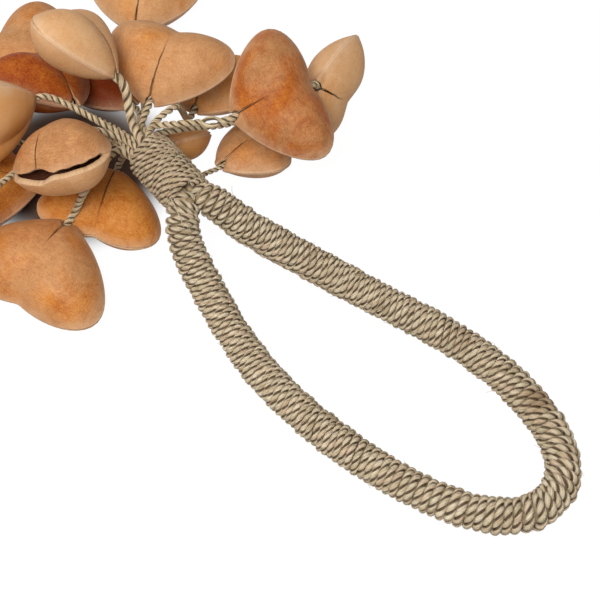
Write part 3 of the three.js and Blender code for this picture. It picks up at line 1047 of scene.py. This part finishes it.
@dataclass
class NutShell:
    """A hollow nut shell of two valves that narrow to a string hole, with a lobe on each side of a valley."""

    place: PodPlace
    skin: Material
    hollow: Material
    lip: Material
    height: float = 31 * MM
    thickness: float = 23 * MM
    wall: float = 1.5 * MM
    lip_crease: float = 0.75
    inner_crease: float = 0.5
    middle_share: float = 0.56
    crown: float = 0.72
    valley_width: float = 7 * MM
    fold_depth: float = 1.3 * MM
    fold_width: float = 1.9 * MM
    fold_power: float = 1.3
    fold_fade: Pair = (1.15, 0.75)
    keel: float = 0.4 * MM
    keel_width: float = 1.1 * MM
    hole_radius: float = 1.9 * MM
    slit_width: float = 0.7 * MM
    slit_length: float = 6.5 * MM
    slit_fade: float = 4 * MM
    seam_reach: float = 11 * MM
    seam_grows: float = 5 * MM
    hairline: float = 0.16 * MM
    split_open_mm: float = 1.3
    chip_mm: Pair = (1.4, 3.8)
    tooth_mm: Triple = (0.5, 6.5, 2.0)
    upper_lip: Pair = (1.2, 0.24)
    lower_lip: Pair = (0.8, 0.12)
    bites: tuple[Pair, Pair] = ((1.0, 5), (0.6, 2))
    split_around: int = 150
    split_wall: float = 1.4
    drawn_back: float = 1.4 * MM
    lower_paler: float = 0.14
    widest: Pair = (0.72, 1.0)
    shoulder: tuple[Pair, Pair] = ((0.02, 0.35), (0.44, 1.0))
    lobe: tuple[Pair, Pair] = ((0.97, 1.0), (1.06, 0.45))
    curve_steps: int = 80
    weld: float = 2e-6
    around: int = 56
    rings: int = 13
    first_seed: int = 100

    def __post_init__(self) -> None:
        """Scales the shell to its place in the table."""
        self.height *= self.place.size
        self.thickness *= self.place.size * self.place.full
        self.half_width = self.place.width * MM / 2
        self.notch = self.place.notch * MM
        self.valley_depth = self.place.valley * MM
        self.rng = Random(self.first_seed + int(self.place.number))
        self.lot = [self.rng.uniform(-1, 1) for _ in range(3)]
        if self.place.split is not None:
            self.around = self.split_around
            self.wall *= self.split_wall

    def outline(self, count: int) -> Array:
        """The rim from the string hole round both lobes and back.

        Args:
            count: how many steps round the rim.

        Returns:
            Points along the shell and across it.
        """
        scale = np.array((self.height, self.half_width))
        widest = np.array(self.widest) * scale
        end = np.array((self.height - self.notch, 0.0))
        shoulder = (np.zeros(2), *(np.array(self.shoulder) * scale), widest)
        lobe = (widest, *(np.array(self.lobe) * scale), end)
        t = np.linspace(0, 1, self.curve_steps)[:, None]
        curves = [
            a * (1 - t) ** 3 + 3 * b * t * (1 - t) ** 2 + 3 * c * t**2 * (1 - t) + d * t**3
            for a, b, c, d in (shoulder, lobe)
        ]
        side = np.vstack((curves[0], curves[1][1:]))
        whole = np.vstack((side, (side * (1, -1))[-2::-1]))
        reach = running(gaps(whole))
        even = np.linspace(0, reach[-1], count + 1)
        return np.stack([np.interp(even, reach, whole[:, k]) for k in range(2)], axis=1)

    def opening(self, rim: Array, face: int) -> Array:
        """How far a valve's edge stands from the middle of the seam, round the rim.

        Args:
            rim: the rim's points.
            face: 1 for the upper valve and -1 for the lower.

        Returns:
            Half the seam's opening at each point.
        """
        far = np.clip((rim[:, 0] - (self.height - self.seam_reach)) / self.seam_grows, 0, 1)
        open_half = self.place.gape * MM / 2
        if self.place.split is not None:
            bites = waves(len(rim), self.rng, *self.bites)
            aside = rim[:, 1] / MM - self.place.split
            chip, chip_reach = self.chip_mm
            tooth, tooth_at, tooth_reach = self.tooth_mm
            broken = self.split_open_mm + chip * bell(aside, chip_reach)
            broken = broken - tooth * bell(aside - tooth_at, tooth_reach)
            opened, bitten = self.upper_lip if face > 0 else self.lower_lip
            open_half = MM * (broken * opened + bitten * bites)
        return np.maximum(self.hairline / 2 + far * open_half, self.hairline / 2)

    def crease(self, along: Array, across: Array, face: int) -> tuple[Array, Array]:
        """Where points of the skin lie beside the crease.

        Args:
            along: the points' distances from the string hole.
            across: their distances to the left of the middle.
            face: 1 for the upper valve and -1 for the lower, which a split leaves whole.

        Returns:
            Their distances aside of the crease, and along it as a share of its length.
        """
        length = self.place.crease * MM
        if self.place.split is None:
            return across, along / length
        whole = 2.0 if face < 0 else 0.0
        return across - self.place.split * MM, (self.height - along) / length + whole

    def valve(self, face: int) -> Piece:
        """Shapes one half of the shell from a grid.

        Args:
            face: 1 for the upper valve and -1 for the lower.

        Returns:
            The valve as a wall with a lip, lying along +X from its string hole.
        """
        bpy.ops.object.select_all(action="DESELECT")
        bpy.ops.mesh.primitive_grid_add(x_subdivisions=self.around, y_subdivisions=self.rings, size=1)
        valve = bpy.context.object
        grid = np.empty(len(valve.data.vertices) * 3, np.float32)
        valve.data.vertices.foreach_get("co", grid)
        grid = grid.reshape(-1, 3).astype(float) + 0.5
        step = np.rint(grid[:, 0] * self.around).astype(int)
        rim = self.outline(self.around)
        edge = self.opening(rim, face)
        if self.place.split is not None and face > 0:
            rim[:, 0] -= self.drawn_back * np.clip(rim[:, 0] / self.height, 0, 1) ** 2
        limit = np.sqrt(np.maximum(1 - (2 * edge / self.thickness) ** (1 / self.crown), 0.1))
        share = np.sin(grid[:, 1] * math.pi / 2) * limit[step]
        points = self.surface(rim[step], share, step <= self.around // 2, face)
        valve.data.vertices.foreach_set("co", points.astype(np.float32).ravel())
        self._keep(valve.data, points, face)
        bpy.ops.object.mode_set(mode="EDIT")
        bpy.ops.mesh.select_all(action="SELECT")
        bpy.ops.mesh.remove_doubles(threshold=self.weld)
        if face < 0:
            bpy.ops.mesh.flip_normals()
        bpy.ops.object.mode_set(mode="OBJECT")
        return self._walled(valve)

    def surface(self, rim: Array, share: Array, left: Array, face: int) -> Array:
        """The outer skin.

        Args:
            rim: the rim's point on the way out from the crown.
            share: how far out towards the rim.
            left: which side of the slit the point is on.
            face: 1 for the upper valve and -1 for the lower.

        Returns:
            The points.
        """
        middle = self.middle_share * self.height
        along = middle + share * (rim[:, 0] - middle)
        across = share * rim[:, 1]
        valley = self.valley_depth * bell(across, self.valley_width)
        aside, share_of_crease = self.crease(along, across, face)
        near = np.clip(self.fold_fade[0] - self.fold_fade[1] * share_of_crease, 0, 1)
        fold = self.fold_depth * near * bell(aside, self.fold_width, self.fold_power)
        swell = np.maximum(1 - share**2, 0) ** self.crown
        level = swell * (self.thickness / 2 - valley - fold)
        outward = unit(np.stack((rim[:, 0] - middle, rim[:, 1]), axis=1))
        ridge = self.keel * bell(level, self.keel_width)
        slit = self.slit_width / 2 * np.clip(1 - along / self.slit_length, 0, 1)
        hole = np.sqrt(np.maximum(self.hole_radius**2 - np.maximum(along, 0) ** 2, 0))
        apart = np.maximum(slit, hole) * np.exp(-np.abs(across) / self.slit_fade)
        across = across + np.where(left, apart, -apart)
        return np.stack((along + outward[:, 0] * ridge, across + outward[:, 1] * ridge, face * level), axis=1)

    def _keep(self, mesh: bpy.types.Mesh, points: Array, face: int) -> None:
        """Keeps the shell's own coordinates, its lot, its tone with painted light and shade, and its crease
        on the mesh for its finish.
        """
        aside, share = self.crease(points[:, 0], points[:, 1], face)
        paler = self.lower_paler if self.place.split is not None and face < 0 else 0.0
        values = {
            "grain": points,
            "lot": np.tile(self.lot, (len(points), 1)),
            "tone": np.tile((self.place.tone + paler, self.place.warm, 0), (len(points), 1)),
            "crease": np.stack((aside, share, np.zeros_like(aside)), axis=1),
        }
        keep_vectors(mesh, values)

    def _walled(self, valve: Piece) -> Piece:
        """Gives a valve its wall, lip and smoothness."""
        for material in (self.skin, self.hollow, self.lip):
            valve.data.materials.append(material)
        wall = {"thickness": self.wall, "offset": -1, "use_even_offset": False}
        wall |= {"material_offset": 1, "material_offset_rim": 2, "edge_crease_inner": self.inner_crease}
        wall |= {"edge_crease_rim": self.lip_crease, "edge_crease_outer": self.lip_crease}
        for kind, settings in (("SOLIDIFY", wall), ("SUBSURF", {"levels": 1, "render_levels": 1})):
            modifier = valve.modifiers.new(kind.lower(), kind)
            for key, value in settings.items():
                setattr(modifier, key, value)
            bpy.ops.object.modifier_apply(modifier=modifier.name)
        bpy.ops.object.shade_smooth()
        return valve

    def build(self) -> Piece:
        """Joins the two valves and lays the shell in its place.

        Returns:
            The piece, on its pod's body.
        """
        upper = self.valve(1)
        lower = self.valve(-1)
        bpy.ops.object.select_all(action="DESELECT")
        lower.select_set(True)
        upper.select_set(True)
        bpy.context.view_layer.objects.active = upper
        bpy.ops.object.join()
        shell = bpy.context.object
        shell.name = "shell_" + self.place.number
        shell.data.name = shell.name
        shell.data.transform(self.place.turn)
        self.hole = self._hole(shell.data)
        shell.data.transform(Matrix.Translation(self.hole))
        return dressed(shell, Slot.SHELL, self.place.body, "pod_" + self.place.number)

    def _hole(self, mesh: bpy.types.Mesh) -> Vector:
        """Where the string hole lies: at its given height, or where the shell rests on the table."""
        lowest = min(vertex.co.z for vertex in mesh.vertices)
        given = self.place.at
        height = given[2] if len(given) == 3 else -lowest / MM
        return Vector(NECK.point((given[0], given[1], height)))


@dataclass
class StringFan:
    """The strings that fan out of the neck's end to the pods, and the bundle that the binding holds."""

    finish: Material
    shells: list[NutShell]
    outer_radius: float = 5.1 * MM
    inner_radius: float = 2.3 * MM
    outer_count: int = 12
    head_radius: float = 6.2 * MM
    turn_gap: float = 0.9 * MM
    gripped: float = 5 * MM
    root_rise: float = 0.4 * MM
    lead: float = 3 * MM
    knot_depth: float = 8 * MM
    step: float = 0.34 * MM
    twist: float = 2.15
    unevenness: float = 0.05
    sides: int = 9
    eye_phase: float = 1.6
    eye_from_end: float = 15.5 * MM
    eye_reach: float = 2.2 * MM
    knot_swell: float = 0.75
    knot_reach: float = 1.6 * MM
    root_slim: float = 0.22
    root_reach: float = 6 * MM
    bundle_mm: Triple = (13, 9, 4.6)
    bundle_cord: float = 2.1 * MM
    bundle_twist: float = 5 * MM
    bundle_step: float = 0.7 * MM
    bundle_seed: int = 41
    first_seed: int = 300

    def leaving(self, shell: NutShell) -> Array:
        """The direction in which a pod's string leaves the neck."""
        via = NECK.points(shell.place.via)
        first = via[0] if via else np.array(shell.hole) - shell.place.axis * self.lead
        away = first - NECK.head
        return unit(away - NECK.axis * min(float(away @ NECK.axis), 0.0))

    def exit_point(self, shell: NutShell) -> Array:
        """Where a pod's string stands clear of the neck."""
        return NECK.head + self.leaving(shell) * (self.head_radius + self.turn_gap)

    def roots(self) -> dict[str, Array]:
        """Where each string stands in the neck's end.

        Returns:
            A point for each pod's number.
        """
        ways = {shell.place.number: self.leaving(shell) for shell in self.shells}
        by_lean = sorted(ways, key=lambda number: float(ways[number] @ NECK.axis))
        found = {}
        outer, inner = by_lean[: self.outer_count], by_lean[self.outer_count :]
        for members, radius in ((outer, self.outer_radius), (inner, self.inner_radius)):
            in_turn = sorted(members, key=lambda number: self._angle(ways[number]))
            angles = np.unwrap([self._angle(ways[number]) for number in in_turn])
            even = np.arange(len(in_turn)) * TAU / len(in_turn)
            start = float(np.mean(angles - even))
            for number, angle in zip(in_turn, even + start):
                found[number] = np.array(NECK.end) + turned(NECK.side, UP, angle) * radius
        return found

    @staticmethod
    def _angle(way: Array) -> float:
        """The angle round the neck of a direction."""
        return math.atan2(float(way @ UP), float(way @ NECK.side))

    def line(self, shell: NutShell, root: Array) -> Route:
        """A string's route from inside the neck to its knot.

        Args:
            shell: the pod that it carries.
            root: where it stands in the neck's end.

        Returns:
            The route.
        """
        axis, hole = shell.place.axis, np.array(shell.hole)
        points = [root - NECK.axis * self.gripped, root + NECK.axis * self.root_rise, self.exit_point(shell)]
        points += NECK.points(shell.place.via)
        points += [hole - axis * self.lead, hole + axis * self.lead, hole + axis * self.knot_depth]
        return Route(points)

    def string(self, shell: NutShell, root: Array) -> Piece:
        """Makes a pod's string.

        Args:
            shell: the pod that it carries.
            root: where it stands in the neck's end.

        Returns:
            The piece.
        """
        place = shell.place
        rng = Random(self.first_seed + int(place.number))
        route = self.line(shell, root)
        line = route.evenly(self.step)
        diameter = place.cord * MM
        phase = self.eye_phase if place.eye else None
        cord = TwistedCord(
            diameter, self.twist * diameter, sides=self.sides, unevenness=self.unevenness, phase=phase
        )
        left = route.length - np.linspace(0, route.length, len(line))
        swell = 1 + self.knot_swell * bell(left, self.knot_reach)
        swell = swell - self.root_slim * np.exp(-((route.length - left) / self.root_reach))
        apart = 1 + place.eye * bell(left - self.eye_from_end, self.eye_reach, 4)
        parts = MeshParts()
        cord.add(parts, line, rng, scale=swell, apart=apart)
        piece = parts.finish("string_cord_" + place.number, self.finish)
        self.exit_point(shell)
        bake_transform(piece)
        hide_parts("string_" + place.number)
        route.evenly(2 * MM).tolist()
        return piece

    def bundle(self, roots: dict[str, Array]) -> Piece:
        """The lengths of string that the binding grips.

        Args:
            roots: where each string stands in the neck's end.

        Returns:
            The piece, on the handle's body.
        """
        rng = Random(self.bundle_seed)
        parts = MeshParts()
        for number in sorted(roots):
            ends = [roots[number] - NECK.axis * reach * MM for reach in self.bundle_mm]
            line = Route(ends).evenly(self.bundle_step)
            TwistedCord(self.bundle_cord, self.bundle_twist).add(parts, line, rng)
        piece = parts.finish("bound_strings", self.finish)
        return dressed(piece, Slot.STRING, "handle", "string_bundle")

    def build(self) -> list[Piece]:
        """Makes every string and the bundle.

        Returns:
            The pieces.
        """
        roots = self.roots()
        strings = [self.string(shell, roots[shell.place.number]) for shell in self.shells]
        return [*strings, self.bundle(roots)]


# The studio


@dataclass(frozen=True)
class Studio:
    """A white table, soft light and a camera at the photograph's angle."""

    elevation: float = 52.0
    azimuth: float = 42.0
    distance: float = 0.6
    pixel: float = 0.33 * MM
    picture: int = 600
    neck_pixel: Pair = (147.0, 152.0)
    sensor: float = 36.0
    room_light: float = 0.25
    room_colour: Triple = (1.0, 0.99, 0.97)
    table_size: float = 6.0
    # painted shade under the heap of pods: its middle, its reach and its colour
    heap_mm: Triple = (-36, -5, 0)
    heap_reach: float = 28 * MM
    heap_shade: Triple = (0.095, 0.056, 0.038)
    shade_band: Pair = (0.8, 1.5)
    shade_power: float = 1.5
    table_grey: Triple = (0.5, 0.5, 0.5)
    table_white: float = 1.08
    table_lift: float = 0.9
    lamps: tuple[tuple[str, Triple, float, float], ...] = (
        ("key", (0.27, -0.5, 0.85), 0.4, 10.2), ("fill", (-0.6, -0.2, 0.6), 0.6, 1.6),
    )

    def camera(self) -> None:
        """Sets the camera so that the neck's end falls on its place in the picture."""
        high, turn = math.radians(self.elevation), math.radians(self.azimuth)
        right = Vector((math.cos(turn), math.sin(turn), 0))
        away = Vector((-math.sin(turn), math.cos(turn), 0))
        ahead = away * math.cos(high) - Vector((0, 0, math.sin(high)))
        upward = away * math.sin(high) + Vector((0, 0, math.cos(high)))
        focal = self.distance / self.pixel
        half = self.picture / 2
        across, down = self.neck_pixel
        ray = ahead + right * (across - half) / focal + upward * (half - down) / focal
        end = Vector(NECK.end)
        place = end - ray * ((end.z - self.distance * math.sin(high)) / ray.z)
        data = bpy.data.cameras.new("camera")
        data.sensor_width = self.sensor
        data.lens = focal / self.picture * self.sensor
        data.clip_start = 0.05
        camera = placed("camera", data)
        facing = Matrix((right, upward, -ahead)).transposed().to_4x4()
        camera.matrix_world = Matrix.Translation(place) @ facing
        bpy.context.scene.camera = camera

    def lamp(self, name: str, place: Sequence[float], size: float, power: float) -> None:
        """Adds a soft lamp that faces the shaker.

        Args:
            name: the lamp's name.
            place: where it hangs.
            size: its width.
            power: in watts.
        """
        data = bpy.data.lights.new(name, "AREA")
        data.size = size
        data.energy = power
        lamp = placed(name, data)
        lamp.location = place
        lamp.rotation_euler = (-Vector(place)).to_track_quat("-Z", "Y").to_euler()

    def floor(self) -> None:
        """Lays the white table, which keeps a soft shadow, with painted shade on it under the heap of pods.
        """
        bpy.ops.object.select_all(action="DESELECT")
        bpy.ops.mesh.primitive_grid_add(x_subdivisions=2, y_subdivisions=2, size=self.table_size)
        floor = bpy.context.object
        floor.name = "table"
        bench = Bench(bpy.data.materials.new("white_table"))
        white = bench.node("ShaderNodeEmission", {}, {0: (1, 1, 1, 1), 1: self.table_white})
        place = bench.node("ShaderNodeTexCoord", {}, {}, "Object")
        middle = Vector(NECK.point(self.heap_mm))
        away = bench.node("ShaderNodeVectorMath", {"operation": "DISTANCE"}, {0: place, 1: middle}, "Value")
        start, end = (share * self.heap_reach for share in self.shade_band)
        open_table = away.fade(start, end) ** self.shade_power
        # painted shade: near the heap the table turns dark brown and loses its white glow, standing in for
        # the deep shadow among the pods
        colour = bench.mix(open_table, self.heap_shade, self.table_grey)
        plain = bench.node("ShaderNodeBsdfPrincipled", {}, {"Base Color": colour, "Roughness": 1.0})
        share = bench.looked_at() * (open_table * self.table_lift)
        bench.close_mixed("ShaderNodeOutputMaterial", share, plain, white)
        floor.data.materials.append(bench.owner)

    def world(self) -> None:
        """Gives the room its soft white light."""
        world = bpy.data.worlds.new("soft_room")
        bench = Bench(world)
        light = bench.node("ShaderNodeBackground", {}, {0: (*self.room_colour, 1), 1: self.room_light})
        white = bench.node("ShaderNodeBackground", {}, {0: (1, 1, 1, 1), 1: 1.0})
        bench.close_mixed("ShaderNodeOutputWorld", bench.looked_at(), light, white)
        bpy.context.scene.world = world

    def build(self) -> None:
        """Sets up the whole studio."""
        bpy.context.scene.view_settings.view_transform = "Standard"
        self.camera()
        self.floor()
        self.world()
        for lamp in self.lamps:
            self.lamp(*lamp)


def dressed(piece: Piece, slot: Slot, body: str, *nodes: str) -> Piece:
    """Puts a piece on its body in place of its solids.

    Args:
        piece: the finished piece.
        slot: the record's material slot; not used.
        body: the body that it rides on.
        nodes: the solids that it stands for.

    Returns:
        The piece.
    """
    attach(piece, body)
    if nodes:
        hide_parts(*nodes)
    return piece


def main() -> None:
    """Builds the shaker around its frame."""
    logging.basicConfig(level=logging.INFO, format="%(name)s: %(message)s")
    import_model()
    Studio().build()
    winding = StrawFinish("winding_straw").material()
    binding = StrawFinish("binding_straw", pale=(0.71, 0.57, 0.39), straw=(0.52, 0.385, 0.235)).material()
    core = StrawFinish("core_straw", straw=(0.30, 0.21, 0.11), pale=(0.40, 0.30, 0.17)).material()
    string = StrawFinish("string_straw", pale=(0.92, 0.74, 0.48), straw=(0.74, 0.56, 0.33)).material()
    skin = ShellFinish().material()
    hollow = HollowFinish("nut_shell_inside", (0.10, 0.024, 0.009), (0.24, 0.07, 0.026)).material()
    lip = HollowFinish("nut_shell_lip", (0.50, 0.29, 0.145), (0.62, 0.40, 0.225)).material()
    handle = RopeHandle(winding, core)
    pieces = handle.build()
    pieces.append(NeckBinding(binding).build())
    pieces.append(StrayFibres(handle, winding).build())
    shells = [NutShell(place, skin, hollow, lip) for place in PODS]
    pieces += [shell.build() for shell in shells]
    pieces += StringFan(string, shells).build()
    for piece in pieces:
        LOG.info("%s: %d faces", piece.name, len(piece.data.polygons))
    bpy.context.view_layer.update()


if __name__ == "__main__":
    main()
